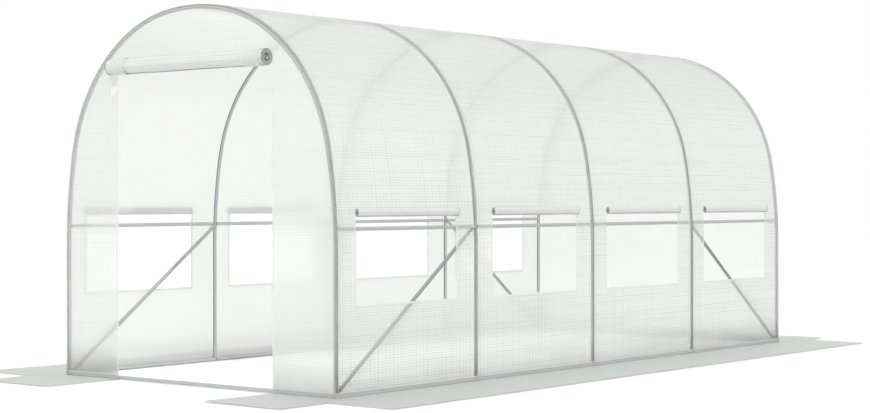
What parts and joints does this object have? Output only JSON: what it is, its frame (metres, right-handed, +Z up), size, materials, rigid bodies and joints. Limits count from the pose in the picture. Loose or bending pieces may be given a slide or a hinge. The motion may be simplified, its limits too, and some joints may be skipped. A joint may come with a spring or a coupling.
{
  "type": "polytunnel greenhouse",
  "caption": "Walk-in tunnel greenhouse: steel tube hoops and rails under a reinforced film cover with a roll-up door, roll-up side windows and ground flaps.",
  "frame": {"origin": "on the ground at the middle of the tunnel, under the middle of its overall box", "axes": "+X across the tunnel to the right as seen from the doorway side, +Y along the tunnel from the doorway end to the closed end, +Z up"},
  "size_m": [3.0068, 5.4868, 1.99],
  "materials": {
    "steel_tube": "satin",
    "film_cover": "translucent film",
    "film_flap": "translucent film",
    "film_roll": "rolled film",
    "hem": "sewn band"
  },
  "bodies": {
    "root": {"hoop_1_front": "steel_tube", "hoop_2": "steel_tube", "hoop_3": "steel_tube", "hoop_4": "steel_tube", "hoop_5_rear": "steel_tube", "side_rail_left": "steel_tube", "side_rail_right": "steel_tube", "ridge_rail": "steel_tube", "base_rail_left": "steel_tube", "base_rail_right": "steel_tube", "base_rail_front": "steel_tube", "base_rail_rear": "steel_tube", "brace_front_left": "steel_tube", "brace_front_right": "steel_tube", "brace_rear_left": "steel_tube", "brace_rear_right": "steel_tube", "cover_roof": "film_cover", "cover_wall_left": "film_cover", "cover_wall_right": "film_cover", "end_wall_front": "film_cover", "end_wall_rear": "film_cover", "flap_left": "film_flap", "flap_right": "film_flap", "flap_front_left": "film_flap", "flap_front_right": "film_flap", "flap_rear": "film_flap", "door_roll": "film_roll", "window_roll_left_1": "film_roll", "window_roll_left_2": "film_roll", "window_roll_left_3": "film_roll", "window_roll_left_4": "film_roll", "window_roll_right_1": "film_roll", "window_roll_right_2": "film_roll", "window_roll_right_3": "film_roll", "window_roll_right_4": "film_roll", "window_hems_left": "hem", "window_hems_right": "hem"}
  },
  "joints": []
}
